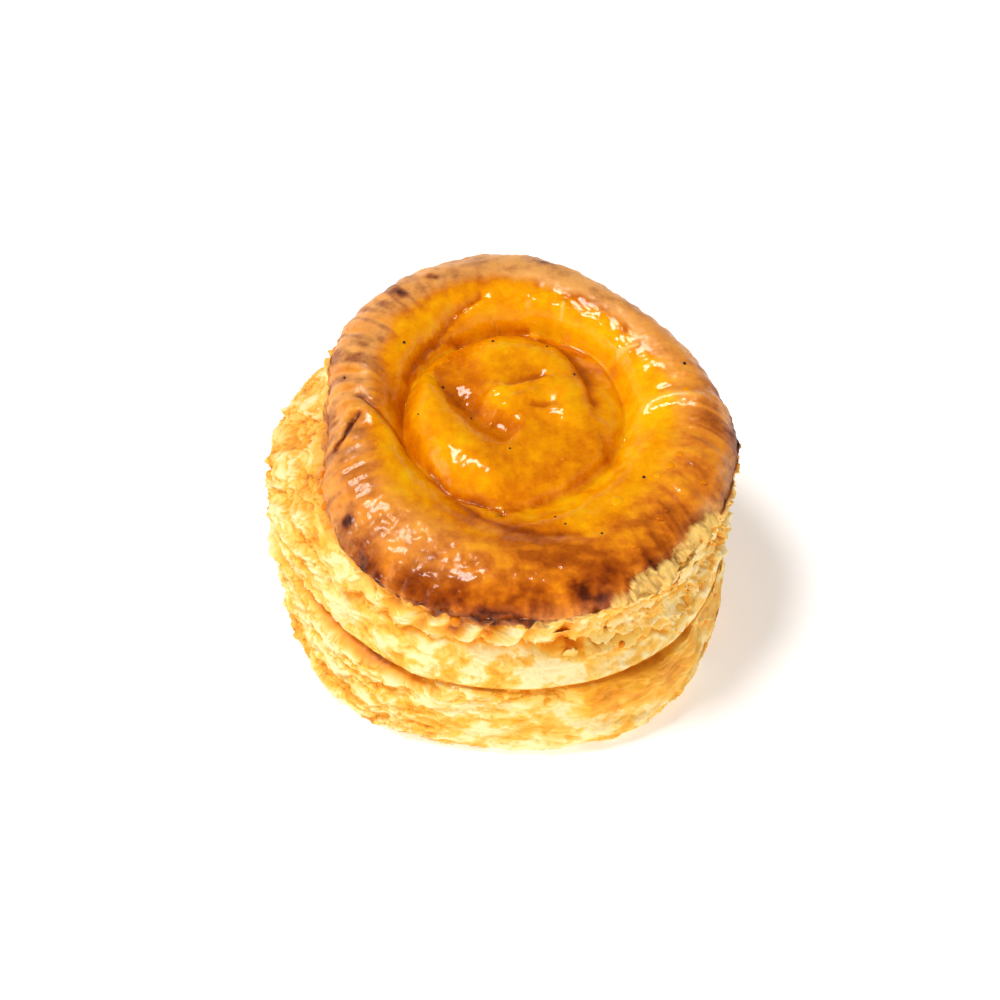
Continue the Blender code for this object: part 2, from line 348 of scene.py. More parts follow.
# %% Fold the top
LEFT_TUCK = [(-4.0, 32.5), (-9.0, 29.0), (-11.7, 25.8), (-14.5, 22.1), (-17.3, 18.3), (-19.5, 13.8)]
TUCK_BRANCH = [(-13.5, 22.6), (-10.1, 24.9), (-6.2, 25.1), (-3.4, 26.8), (0.8, 27.9), (6.0, 28.2)]
LEFT_PINCH = [(-29.0, 6.5), (-26.8, 4.4), (-23.5, 1.6), (-19.6, -0.8)]
LEFT_SPLIT = [(-28.6, 1.6), (-29.7, 0.2), (-31.3, -2.4), (-33.4, -5.2)]
FRONT_TUCK = [(-17.9, -3.8), (-14.3, -8.7), (-10.3, -14.3), (-4.6, -16.5), (0.6, -19.6)]
RIGHT_TUCK = [(19.9, -8.6), (13.7, -14.2), (8.0, -17.1), (2.6, -18.9)]
BACK_TUCK = [(3.0, 27.0), (5.5, 26.0), (12.1, 22.3), (15.3, 17.1), (17.8, 11.7), (18.9, 6.7), (20.0, 0.3)]
RIGHT_DIP = [(10.6, 26.8), (18.0, 22.9), (22.9, 18.7), (25.3, 12.5), (26.8, 6.3), (25.0, 0.6), (21.8, -4.8)]
DOME_SLIT = [(2.0, 10.4), (5.1, 11.7), (8.9, 12.8)]
DOME_NICK = [(6.8, 5.6), (9.0, 4.9), (11.2, 5.4)]
RIGHT_PLEAT = [(41.0, 5.9), (36.7, 6.6), (33.8, 6.5), (31.3, 5.8), (29.1, 4.5)]
RIGHT_CRACK = [(28.4, 19.4), (24.5, 18.5)]
BACK_CRACK = [(13.4, 30.1), (12.8, 27.7)]
FOLDS = [
    ("crease", 1.1, -1.5, LEFT_TUCK),
    ("valley", 2.6, -0.6, [(-9.0, 28.0), (-14.5, 21.5), (-19.0, 15.0)]),
    ("crease", 0.8, -1.0, TUCK_BRANCH),
    ("valley", 2.4, -1.5, [(-23.0, 13.5), (-22.0, 9.4), (-21.6, 4.9), (-20.3, 1.2), (-18.2, -3.3)]),
    ("crease", 0.8, -1.1, LEFT_PINCH),
    ("ridge", 1.6, 0.7, [(-27.6, 2.4), (-24.0, -0.8), (-20.5, -3.4)]),
    ("crease", 0.9, -1.4, [(-19.6, -0.8), *FRONT_TUCK]),
    ("step", 0.7, 0.9, [(23.8, -3.2), *RIGHT_TUCK]),
    ("crease", 0.5, -0.6, [(22.0, -5.6), *RIGHT_TUCK]),
    ("crease", 0.7, -0.5, [(2.4, -22.3), (8.0, -20.8), (14.1, -17.9), (20.2, -13.2), (24.7, -8.7)]),
    ("valley", 2.2, -0.5, [(-10.1, -16.5), (-4.2, -22.2), (1.8, -25.2), (8.1, -26.6), (15.9, -26.6)]),
    ("valley", 3.0, -2.1, [(-11.8, 17.5), (-10.6, 12.4), (-7.6, 7.4), (-3.6, 2.2), (0.8, -0.6)]),
    ("crease", 1.3, -0.5, [(-14.6, 15.4), (-11.6, 11.7), (-8.0, 8.1), (-4.7, 5.0), (-2.0, 2.0)]),
    ("valley", 2.8, -1.4, [(-9.6, 21.0), (-6.8, 16.0), (-5.0, 12.6), (-6.4, 8.6)]),
    ("ridge", 4.4, 1.4, [(-12.5, 20.5), (-14.6, 12.0), (-13.6, 3.0), (-9.0, -6.0), (-2.0, -11.0)]),
    ("ridge", 3.0, 0.8, [(0.5, 7.0), (5.0, 8.4), (9.5, 10.0)]),
    ("valley", 1.2, -0.8, DOME_SLIT),
    ("ridge", 1.1, 0.7, [(-1.6, 8.4), (1.0, 9.4), (4.8, 9.9), (9.6, 12.0)]),
    ("valley", 1.1, -0.4, DOME_NICK),
    ("ridge", 1.2, 0.7, [(-1.8, 2.0), (0.6, 4.0), (4.0, 6.2), (7.0, 7.4)]),
    ("ridge", 0.9, 0.3, [(6.6, 4.0), (9.0, 3.4), (11.4, 4.0)]),
    ("ridge", 3.4, 1.1, [(-1.0, 21.5), (5.0, 20.5), (10.5, 17.0), (13.5, 11.5), (14.0, 5.0)]),
    ("step", 0.8, 0.55, BACK_TUCK),
    ("crease", 0.7, -0.6, [(5.5, 26.2), (12.3, 22.5), (15.8, 17.1), (18.3, 11.7), (19.3, 6.7)]),
    ("valley", 1.5, -0.7, RIGHT_DIP),
    ("ridge", 1.4, 0.6, RIGHT_PLEAT),
    ("crease", 0.9, -0.5, [(41.0, 8.2), (36.7, 8.6), (33.2, 8.4)]),
    ("ridge", 2.2, 1.5, [(23.7, 19.4), (19.2, 24.3), (13.6, 27.9), (7.2, 29.9)]),
    ("ridge", 0.5, 0.3, RIGHT_CRACK),
    ("ridge", 0.5, 0.3, BACK_CRACK),
    ("crease", 0.5, -0.9, LEFT_SPLIT),
    ("ridge", 1.2, 0.8, [(-30.6, 2.4), (-32.4, -0.8), (-34.2, -3.6)]),
]


def near_line(x, y, line):
    """The distance to a line over the top, and the same distance, but minus on its left."""
    gap = np.full(x.shape, np.inf)
    side = np.ones(x.shape)
    for (x0, y0), (x1, y1) in zip(line, line[1:]):
        run_x, run_y = x1 - x0, y1 - y0
        along = np.clip(((x - x0) * run_x + (y - y0) * run_y) / (run_x**2 + run_y**2), 0, 1)
        off_x, off_y = x - x0 - along * run_x, y - y0 - along * run_y
        found = np.hypot(off_x, off_y)
        side = np.where(found < gap, np.sign(off_x * run_y - off_y * run_x), side)
        gap = np.minimum(gap, found)
    return gap, gap * side


def folds_at(points, folds):
    """How far the folds move each point up, and how deep in a fold it lies."""
    wander = rough(points, 5 * MM, seed=5) * 0.5
    x, y = points[..., 0] / MM + wander, points[..., 1] / MM - wander
    rise = np.zeros(x.shape)
    depth = np.zeros(x.shape)
    for kind, width, size, line in folds:
        gap, side = near_line(x, y, line)
        if kind == "step":
            ends = np.minimum(*[np.hypot(x - end[0], y - end[1]) for end in (line[0], line[-1])])
            fading = np.exp(-((gap / (6 * width)) ** 2)) * smooth_step(ends, 0.3, 4.0)
            rise += size * np.tanh(side / width) * fading
            continue
        shape = np.exp(-gap / width) if kind == "crease" else np.exp(-((gap / width) ** 2))
        rise += size * shape
        depth = np.where(np.abs(size * shape) > np.abs(depth), -size * shape, depth)
    return rise * MM, depth


print("folds of the top:", len(FOLDS))

# %% [markdown]
# On the rim the skin is drawn into pleats that run outwards, and all over it has the small
# wrinkles of a dried glaze. They break its reflections into sparks, so they belong in the mesh.
# At the front right the egg wash stops short of the edge. Nothing holds the sheets down there,
# so we let their torn ends stand up, and keep a value that says where the dough is bare.

# %% Lay the whole top
LID_COLUMNS = 700
DOME_ROWS = 56
SHOULDER_ROWS = 60
RAY_RADIUS = 43


def rays(angle, size, seed, twist=0.0, along=0.0):
    """Noise drawn out into lines that run outwards, its lumps about the size at the lip."""
    circle = np.stack([np.cos(angle + twist), np.sin(angle + twist), 0 * angle + along], axis=-1)
    return rough(circle * RAY_RADIUS * MM, size, seed, octaves=2)


def facing(angle, *lobes):
    return np.clip(sum(share * lobe(angle, towards, width) for towards, width, share in lobes), 0, 1)


def pushed(points, angle, reach):
    return points + outward(angle) * reach[..., None]


def scallops(angle):
    """How far the rim of the glaze stands out, in small uneven waves."""
    return 0.55 * MM * rays(angle, 4 * MM, seed=35) + 0.35 * MM * rays(angle, 1.8 * MM, seed=36)


def left_bare(angle, place):
    """1 where the egg wash stops short of the edge, at the front right, and 0 elsewhere."""
    start = 2.35 - 0.43 * facing(angle, (-46, 25, 1.15))
    ragged = place + 0.03 * rays(angle, 3 * MM, seed=28) + 0.02 * rays(angle, 1.2 * MM, seed=29)
    return smooth_step(ragged - start, 0, 0.02)


def torn_lip(points, angle, place):
    """How far torn sheets stand out where no egg wash holds them down, and how bare they look. Just below
    each torn edge they look less bare, so the glaze colour shows there as painted shade.
    """
    cover, below = torn_layers(points + rough(points, 4 * MM, seed=65)[..., None] * MM, 5 * MM, 4, seed=67)
    bare = left_bare(angle, place)
    # Just below each torn edge the dough is made less bare, so darker glaze colour shows there as painted
    # shade.
    return 2.4 * MM * bare * (cover - 0.5), bare * (1 - 0.6 * below)


def glazed_top(angle, place):
    plain = plain_top(angle, place)
    rise, depth = folds_at(plain, FOLDS)
    rise *= 1 - smooth_step(place, 1.85, 2.0)
    outer = smooth_step(place, 1.35, 1.75)
    pleats = facing(angle, (170, 30, 1.0), (-15, 32, 0.9), (-125, 20, 0.3))
    rise += 0.45 * MM * pleats * outer * rays(angle, 4.2 * MM, seed=21, twist=0.10 * place)
    rise += 0.20 * MM * pleats * outer * rays(angle, 1.8 * MM, seed=22, twist=0.14 * place)
    stretched = plain * (1, 1, 3)
    rise += 0.30 * MM * rough(stretched, 8 * MM, seed=23)
    rise += 0.70 * MM * noise(plain, 15 * MM, seed=26) * smooth_step(place, 1.1, 1.4)
    rise += 0.055 * MM * rough(stretched, 1.6 * MM, seed=24, octaves=2)
    crumpled = facing(angle, (-128, 24, 1.0), (-60, 30, 0.35), (60, 18, 0.5)) * smooth_step(place, 1.25, 1.5)
    pushed_about = stretched + rough(stretched, 4 * MM, seed=27)[..., None] * 1.5 * MM
    rise += 0.34 * MM * crumpled * (creases(pushed_about * (0.6, 1, 1), 2.6 * MM, seed=25) - 0.4)
    torn, _ = torn_lip(plain, angle, place)
    laid = pushed(plain, angle, scallops(angle) * smooth_step(place, 1.75, 2.0) + torn)
    laid[..., 2] += rise + 0.4 * torn
    return laid, depth


angle = round_angles(LID_COLUMNS)[None, :]
dome_places = np.linspace(0, 1, DOME_ROWS + 1)[1:]
shoulder_places = 1 + np.linspace(0, 1, SHOULDER_ROWS + 1)[1:] ** 0.92
top_places = np.concatenate([dome_places, shoulder_places])[:, None]
top_angle, top_place = np.broadcast_arrays(angle, top_places)
top_points, top_depth = glazed_top(top_angle, top_place)
print("highest point of the top, mm:", round(top_points[..., 2].max() / MM, 1))

# %% [markdown]
# ## The edge of the glaze
# Over the lip the egg wash runs a little way down the side, and ends there in a ragged edge. At
# the front it reaches down between the puffed lumps of dough, and at the back it wraps further.
# From that edge the skin turns in under the crust, so that it is closed where nobody looks.

# %% Roll the glaze over the lip
ROLL_ROWS = 16
LIP_PLACE, ROLL_PLACES = 2, 0.3
GLAZE_THICKNESS = 0.35 * MM
FRILLS = 38


def front_lumps(angle):
    """1 in the middle of each lump of the edge, 0 between two, and how much of them there is."""
    swing = angle * FRILLS + 1.4 * rays(angle, 14 * MM, seed=31)
    return (1 - np.cos(swing)) / 2, facing(angle, (-94, 25, 1.1))


def glaze_edge(angle):
    """How far down the side the glaze reaches, counted in levels of the lid."""
    lump, front = front_lumps(angle)
    reach = 0.10 + 0.68 * facing(angle, (80, 45, 1.0)) + 0.20 * facing(angle, (8, 20, 1.0))
    ragged = 0.22 * rays(angle, 5 * MM, seed=32) + 0.22 * rays(angle, 2.2 * MM, seed=30)
    reach += front * (1.75 - 1.45 * lump) + ragged + 0.15 * facing(angle, (-150, 25, 1.0))
    return np.maximum(reach, 0.03)


def puffs(angle, place):
    """How far the lumps under the glaze swell out at the front, between its edge and the crease."""
    lump, front = front_lumps(angle)
    tall = np.clip(1 - ((place - 1.6) / 1.4) ** 2, 0, 1) ** 0.6
    uneven = 1 + 0.5 * rays(angle, 9 * MM, seed=39)
    return MM * front * tall * (3.2 * uneven * lump**0.7 - 1.1)


def glaze_roll(angle, part):
    """Part 0 at the lip, 1 at the edge of the glaze."""
    place = part * glaze_edge(angle)
    bead = GLAZE_THICKNESS * (smooth_step(part, 0, 0.3) + 0.5 * smooth_step(part, 0.6, 0.9))
    host = between(LID_LEVELS, angle, place)
    lumps = 0.55 * MM * rough(host, 3.5 * MM, seed=33) * smooth_step(part, 0, 0.6)
    torn, _ = torn_lip(host, angle, LIP_PLACE + ROLL_PLACES * part)
    return pushed(host, angle, bead + lumps + puffs(angle, place) + scallops(angle) + torn)


roll_parts = np.linspace(0, 1, ROLL_ROWS + 1)[1:, None]
roll_angle, roll_part = np.broadcast_arrays(angle, roll_parts)
roll_points = glaze_roll(roll_angle, roll_part)
inner_edge = pushed(roll_points[-1], angle[0], np.full(LID_COLUMNS, -1.4 * MM))
hidden_floor = np.array([0, 0, 37]) * MM
tucks = [inner_edge] + [hidden_floor + (inner_edge - hidden_floor) * share for share in (0.85, 0.5, 0.2)]
glaze_rings = np.concatenate([top_points, roll_points, np.stack(tucks)])
print("rings of the glaze:", len(glaze_rings))

# %% [markdown]
# ## How brown the top is
# The oven browns what stands up and out: the rim, most at the front left, and the streaks on
# the right. Egg that pooled in the folds is darker too, and on top of that the folds are
# darkened and the ridges lightened as painted shade and light. The back and the left rim are a
# dull tan, partly dried glaze and partly a painted sheen. We work this out point by point, from
# 0 for yellow to 1 for nearly black, as a sum of zones, each with its angles round the pie and
# its places from the groove to the lip. Over them lie round scorches (x, y, size, amount) and
# lines (width, amount, points) that paint a burnt band and shade along grooves and creases. A
# crack is a line where the film broke and the pale dough shows.

# %% Brown the top
SCORCHES = [
    (4.0, -11.0, 9.0, 0.16), (15.0, -3.0, 6.0, 0.06), (-26.5, -30.5, 3.0, 0.26), (-29.5, -27.0, 2.2, 0.10),
    (-18.0, -34.0, 4.0, 0.28), (-6.0, -22.0, 4.0, 0.24), (3.0, -25.5, 4.0, 0.26), (10.0, -26.5, 4.0, 0.16),
    (27.0, -24.0, 5.0, 0.06), (38.0, -12.0, 3.0, 0.10), (4.0, -41.0, 5.0, 0.20), (-9.0, -41.0, 3.5, 0.16),
    (15.0, -39.0, 4.0, 0.10), (-26.0, -34.0, 3.0, 0.22), (39.0, -2.0, 3.0, 0.06), (12.0, -33.0, 5.0, 0.10),
    (31.0, 4.0, 5.0, -0.24), (27.0, 12.0, 4.0, -0.14), (14.0, -16.5, 3.0, -0.20), (21.0, -11.0, 3.0, -0.20),
    (6.0, -20.0, 2.6, -0.18), (25.0, -4.0, 3.0, -0.20), (8.0, 24.0, 3.0, 0.16), (14.0, 20.5, 2.6, 0.18),
    (17.4, 14.0, 2.4, 0.20), (19.0, 7.0, 2.2, 0.20), (-22.0, 6.0, 3.0, 0.20), (-5.8, 14.0, 3.0, 0.16),
    (-14.5, 21.0, 2.4, 0.12), (-12.0, 16.0, 5.0, -0.05), (26.0, 22.8, 1.0, 0.30), (28.6, 19.3, 1.2, 0.30),
    (-30.4, -21.8, 0.9, 1.3), (-30.6, -22.6, 1.2, 0.2), (-14.8, 37.2, 1.0, 0.5), (-13.6, 36.2, 0.8, 0.4),
    (-22.1, 33.3, 1.4, 0.4), (-20.6, 32.0, 1.2, 0.35), (9.5, 41.3, 1.0, 0.4),
]
# The first line is a burnt band along the front of the groove. The others darken the back of the groove, the
# creases, a valley on the dome and its slits, partly as brown glaze and partly as painted shade.
BURNT_AND_SHADED_LINES = [
    (0.9, 0.26, [(-10.1, -15.9), (-4.2, -21.6), (1.8, -24.7), (8.1, -26.4), (15.9, -26.6)]),
    (1.3, 0.20, [(5.5, 26.4), (12.1, 22.7), (15.6, 17.1), (18.1, 11.7), (19.2, 6.7)]),
    (0.5, 0.22, LEFT_TUCK),
    (0.4, 0.18, TUCK_BRANCH),
    (0.4, 0.22, LEFT_PINCH),
    (0.5, 0.60, LEFT_SPLIT),
    (0.4, 0.12, FRONT_TUCK),
    (0.4, 0.12, [(22.0, -5.6), *RIGHT_TUCK[:3], (0.6, -19.6)]),
    (0.9, 0.14, DOME_SLIT),
    (2.6, 0.14, [(-13.0, 15.5), (-9.6, 10.4), (-6.4, 6.4), (-2.4, 1.4)]),
    (0.6, 0.16, DOME_NICK),
]
CRACKS = [(0.55, 0.80, RIGHT_CRACK), (0.35, 0.45, BACK_CRACK), (0.60, 0.30, RIGHT_PLEAT)]


def along_lines(points, lines):
    """The greatest amount of any painted line that passes near each point."""
    wander = 0.3 * rough(points, 3 * MM, seed=37)
    x, y = points[..., 0] / MM + wander, points[..., 1] / MM - wander
    shares = [amount * np.exp(-((near_line(x, y, line)[0] / width) ** 2)) for width, amount, line in lines]
    return np.maximum.reduce(shares)


def left_strokes(angle, place):
    """Noise drawn out into slanting strokes, as on the rim at the left."""
    return rays(angle, 2.6 * MM, seed=45, twist=0.12 * place, along=0.11 * place)


def browning(points, angle, place, depth):
    """How brown each point is, with the top's folds, scorches, lines and baked zones."""
    x, y = points[..., 0] / MM, points[..., 1] / MM
    tone = 0.19 + 0.13 * rough(points, 9 * MM, seed=41) + 0.10 * rough(points, 2.2 * MM, seed=42)
    drawn = rough(points * (0.35, 1, 1), 2.4 * MM, seed=40)
    tone += 0.10 * drawn * smooth_step(place, 1.2, 1.5)
    for spot_x, spot_y, size, amount in SCORCHES:
        gap = ((x - spot_x) ** 2 + (y - spot_y) ** 2) / size**2
        tone += amount * np.exp(-gap)
    # Folds come out darker and ridges lighter, partly from egg pooled in the folds and partly as painted
    # shade and light.
    tone += 0.10 * np.clip(depth, -0.9, 1.3) + along_lines(points, BURNT_AND_SHADED_LINES)
    rim = smooth_step(place, 1.62, 1.95)
    tone += 0.13 * smooth_step(place, 1.32, 1.60)
    front = facing(angle, (-100, 30, 1.0), (-55, 20, 0.8))
    patches = rough(points * (0.5, 1, 1), 5 * MM, seed=50)
    tone += front * smooth_step(place, 1.25, 1.6) * (0.10 + 0.14 * smooth_step(patches, 0.05, 0.30))
    tone -= front * smooth_step(place, 1.3, 1.5) * 0.14 * smooth_step(-patches, 0.10, 0.35)
    scorched = smooth_step(place + 0.08 * rays(angle, 5 * MM, seed=43), 1.74, 2.02)
    tone += front * scorched * (0.30 + 0.50 * rough(points, 4 * MM, seed=49))
    tone -= 0.30 * front * smooth_step(place, 2.14, 2.30)
    streaks = 0.25 + 1.7 * rays(angle, 2.4 * MM, seed=44, twist=0.10 * place, along=0.05 * place)
    right = facing(angle, (-12, 26, 1.0))
    tone += 0.34 * right * np.clip(streaks, 0, 1) * smooth_step(place, 1.42, 1.75)
    tone -= 0.07 * right * smooth_step(place, 1.3, 1.5)
    tone += 0.42 * right * smooth_step(place + 0.05 * rays(angle, 3 * MM, seed=34), 1.86, 2.0)
    left = facing(angle, (168, 26, 1.0), (135, 16, 0.6))
    strokes = np.clip(0.3 + 1.5 * left_strokes(angle, place), 0, 1)
    tone += 0.36 * left * strokes * smooth_step(place, 1.22, 1.45)
    back = facing(angle, (80, 45, 1.0))
    tone += 0.20 * back * smooth_step(place + 0.05 * rays(angle, 12 * MM, seed=46), 1.33, 1.46)
    burnt = facing(angle, (-130, 9, 1.0)) * rim * (0.5 + 0.6 * rough(points, 3 * MM, seed=47))
    tone += 0.22 * burnt + 0.05 * (1 - smooth_step(place, 0.9, 1.1))
    eased = 0.7 + 0.7 * (tone - 0.7)
    return np.clip(np.minimum(tone, eased), 0, 1)


def dryness_and_sheen(points, angle, place):
    """Where the skin is dull and tan, partly dried and partly a painted sheen: the rim at the back, left and
    right, and the lip at the front.
    """
    start = place + 0.05 * rough(points, 6 * MM, seed=48)
    back = facing(angle, (80, 45, 1.0)) * smooth_step(start, 1.36, 1.52)
    left = facing(angle, (165, 24, 0.9)) * smooth_step(start, 1.28, 1.55)
    left *= np.clip(0.6 + 0.9 * left_strokes(angle, place), 0, 1)
    right = facing(angle, (-18, 24, 0.9)) * smooth_step(start, 1.84, 2.0)
    corner = facing(angle, (-150, 14, 0.45)) * smooth_step(start, 1.70, 1.95)
    crumpled = 0.35 * facing(angle, (-126, 17, 1.0)) * smooth_step(start, 1.28, 1.5)
    crumpled *= 1 - smooth_step(start, 1.72, 1.90)
    lip = 0.6 * facing(angle, (-95, 32, 1.0)) * smooth_step(place, 1.97, 2.05)
    return np.clip(back + left + right + corner + crumpled + lip, 0, 1)


all_angle = np.broadcast_to(angle, glaze_rings.shape[:2])
tuck_place = np.full((len(tucks), LID_COLUMNS), LIP_PLACE + ROLL_PLACES)
all_place = np.concatenate([top_place, LIP_PLACE + ROLL_PLACES * roll_part, tuck_place])
all_depth = np.concatenate([top_depth, np.zeros((ROLL_ROWS + len(tucks), LID_COLUMNS))])
bake = browning(glaze_rings, all_angle, all_place, all_depth)
dry = dryness_and_sheen(glaze_rings, all_angle, all_place)
print("browning of the top:", np.round(np.percentile(bake, [5, 50, 95]), 2))

_, torn_share = torn_lip(glaze_rings, all_angle, all_place)
bare = np.maximum(along_lines(glaze_rings, CRACKS), torn_share)
lid_glaze = closed_skin("lid_glaze", glaze_rings, bake=bake, dry=dry, bare=bare)

# %% [markdown]
# ## Flaky sides
# Where the dough was cut, its layers parted and curled as they rose. What shows are the ends of
# thin sheets, each over the next like scales. We lay scales row by row over a side: each has a
# round, ragged lower edge, stands out most at that edge, and covers the row below it. The same
# sums tell where it is hollow behind an edge, and the finish paints shade there.

# %% Lay scales over a side
def scales(angle, drop, count, height, seed):
    """How far the scales stand out, from 0 to 1, how much shade is painted behind an edge, and each scale's
    tone.
    """
    column = angle / (2 * math.pi) * count
    first = np.floor(drop / height)
    lift = np.full(drop.shape, 0.15)
    shade_and_tint = np.zeros(drop.shape)
    tone = np.full(drop.shape, 0.5)
    for below in (2, 1, 0, -1):
        row = first + below
        shift = scatter(np.stack([row, 0 * row, 0 * row], axis=-1), seed)
        for beside in (-1, 0, 1):
            index = np.floor(column - shift) + beside
            cell = np.stack([np.mod(index, count), row, 0 * row], axis=-1)
            luck = [scatter(cell, seed + turn) for turn in (0.13, 0.29, 0.47, 0.61, 0.83)]
            middle = index + shift + 0.5 + 0.6 * (luck[0] - 0.5)
            across = (column - middle) / (0.52 + 0.45 * luck[1])
            round_end = np.sqrt(np.clip(1 - across**2, 0, 1))
            tip = (row + 1 + 0.8 * (luck[2] - 0.5)) * height
            edge = tip - 0.75 * height * (1 - round_end) * (0.5 + luck[3])
            above = (edge - drop) / height
            covered = (np.abs(across) < 1) & (above > 0)
            behind = (np.abs(across) < 1.1) & (above <= 0)
            # Just below an uncovered edge lies painted shade, fading downwards.
            shade_and_tint = np.where(behind, np.maximum(shade_and_tint, np.exp(above / 0.24)), shade_and_tint)
            shade_and_tint = np.where(covered, 0, shade_and_tint)
            own = (0.45 + 0.55 * luck[4]) * np.clip(1 - 0.62 * above, 0.12, 1) * (1 - 0.25 * across**2)
            lift = np.where(covered, own, lift)
            tone = np.where(covered, luck[3], tone)
    return lift, shade_and_tint, tone


test = scales(np.linspace(0, 6, 7), np.full(7, 2 * MM), count=40, height=3 * MM, seed=1)
print("scales stand out:", np.round(test[0], 2))

# %% [markdown]
# The side of the lid is not the same all round. Its front has lumps under the glaze, then a
# slit, then a smooth belt. The right has small petals, made of scales with torn sheets over
# them. The left has larger sheets, torn and crinkled, on broad swells. So the size and the
# kind of the relief follow the angle and the height, and we add one kind to the next.

# %% Shape the side of the lid
SIDE_COLUMNS = 900
SIDE_ROWS = 92
SIDE_RADIUS = 45 * MM


def warped(points, angle, size, amount, seed):
    """The angle and the height, pushed about, so that rows of scales run unevenly."""
    turn = rough(points, size, seed) * amount / SIDE_RADIUS
    torn = 0.55 * MM * rough(points, 2.6 * MM, seed + 6, octaves=2)
    drop = -points[..., 2] + rough(points, size, seed + 3) * amount + torn
    return angle + turn + torn / SIDE_RADIUS, drop


def crumpled_space(points, seed):
    """The points, stretched in height and pushed about, so that noise there makes flat sheets."""
    return points * (1, 1, 1.6) + rough(points, 6 * MM, seed)[..., None] * 1.5 * MM


def fine_layers(points, drop, seed):
    """Noise in thin layers, each about a millimetre, which follow the rows of scales."""
    flat = np.stack([points[..., 0] * 0.2, points[..., 1] * 0.2, drop], axis=-1)
    return rough(flat, 1.0 * MM, seed)


def torn_tone(cover, crumpled):
    """The tone of large sheets: pale where they lie on top, darker in the gaps and in the hollows of the
    crinkles, partly as painted shade.
    """
    return 1.7 - 1.5 * cover - crumpled


def lid_side(angle, place):
    """The points of the side, how much painted shade and darker tint each takes, its tone, and how much it is
    belt.
    """
    host = between(LID_LEVELS, angle, place)
    petal_angle, petal_drop = warped(host, angle, 9 * MM, 1.6 * MM, seed=51)
    lift, behind, tone = scales(petal_angle, petal_drop, count=44, height=3.9 * MM, seed=52)
    pushed_about = crumpled_space(host, seed=57)
    crumpled = crinkles(pushed_about, 9 * MM, seed=54)
    cover, below = torn_layers(pushed_about * (1, 1, 1.4), 10 * MM, 5, seed=64)
    left = facing(angle, (172, 42, 1.2), (-118, 16, 0.5))
    lump, lumpy = front_lumps(angle)
    crease = 2.95 + 0.20 * lump + 0.22 * rays(angle, 8 * MM, seed=58) + 0.12 * rays(angle, 2.5 * MM, seed=62)
    crease += 1.35 * facing(angle, (-34, 20, 1.0))
    front = facing(angle, (-98, 38, 1.0), (-45, 22, 0.9), (-15, 16, 0.6))
    belt = front * smooth_step(place, crease, crease + 0.25)
    slit = front * np.exp(-np.abs(place - crease) / 0.10)
    flaky = (1 - 0.85 * belt) * (1 - 0.85 * lumpy * (1 - smooth_step(place, 2.6, 3.0)))
    shaken = host + rough(host, 4 * MM, seed=65)[..., None] * MM
    small, small_below = torn_layers(shaken, 5.5 * MM, 4, seed=66)
    relief = left * 3.0 * (cover - 0.5) + (0.4 + 1.5 * left) * (crumpled - 0.4)
    relief += (1 - left) * (3.2 * (lift - 0.45) + 2.2 * (small - 0.5))
    reach = flaky * relief * MM + puffs(angle, place) - 1.0 * MM * slit + 0.45 * MM * belt * cover
    reach += 1.9 * MM * left * noise(host, 13 * MM, seed=60)
    broad = rough(host * (1, 1, 2), 9 * MM, seed=55)
    reach += (0.45 - 0.10 * belt) * MM * broad + 0.07 * MM * rough(host, 1.3 * MM, seed=56, octaves=2)
    strata = fine_layers(host, petal_drop, seed=59)
    reach += (0.22 - 0.14 * belt) * MM * strata
    covered = 1 - smooth_step(place - glaze_edge(angle), -0.30, 0.04)
    reach -= covered * (1.5 * MM + np.maximum(reach, 0))
    reach *= 1 - smooth_step(place, 4.75, 5.0) * 0.6
    # Behind the edges of scales and torn sheets the side is darkened, as painted shade.
    shade_and_tint = (1 - left) * np.clip(1.35 * np.maximum(behind, 0.7 * small_below), 0, 1)
    shade_and_tint = np.maximum(shade_and_tint, 0.85 * left * below) * (1 - 0.8 * belt) * (1 - 0.8 * lumpy)
    shade_and_tint = np.maximum(shade_and_tint, 0.4 * belt * below)
    # Below its edge the glaze stains the dough. The slit, the seam under the hem and the recessed thin layers
    # are darkened as painted shade. The valleys between the front lumps are darker partly from glaze that ran
    # down and partly as painted shade.
    stained = 0.75 * np.exp(-np.clip(place - glaze_edge(angle), 0, 9) / 0.45)
    hem = smooth_step(place, 4.90, 5.0)
    shaded_strata = (0.34 + 0.24 * left - 0.24 * belt) * np.clip(-strata, 0, 1)
    folds_between = lumpy * (1 - lump) ** 1.3 * (1 - smooth_step(place, crease - 0.5, crease))
    shade_and_tint = np.maximum.reduce([shade_and_tint, 0.9 * slit, stained, hem, shaded_strata, folds_between])
    # The tone is darker where few small torn sheets cover the side, partly as their own tone and partly as
    # painted shade in the gaps.
    tone = (1 - left) * (0.5 * tone + 0.50 - small) + left * torn_tone(cover, crumpled)
    return pushed(host, angle, reach), shade_and_tint, tone, 0.6 * belt


side_angles = round_angles(SIDE_COLUMNS)[None, :]
lid_places = np.linspace(0.02, 5, SIDE_ROWS)[:, None]
lid_angle, lid_place = np.broadcast_arrays(side_angles, lid_places)
lid_points, lid_shade_and_tint, lid_tone, lid_belt = lid_side(lid_angle, lid_place)
print("side of the lid stands out to, mm:", round(np.linalg.norm(lid_points[..., :2], axis=-1).max() / MM, 1))

# %% [markdown]
# Thin sheets let the light through, so they glow golden where butter soaked in, and are pale
# and floury where they are dry. One value says how golden each spot is, and it also carries
# the painted shade of the hollows, gaps and seam.

# %% Close the side of the lid
HIDDEN_RINGS = 3
HIDDEN_GOLD = 0.6


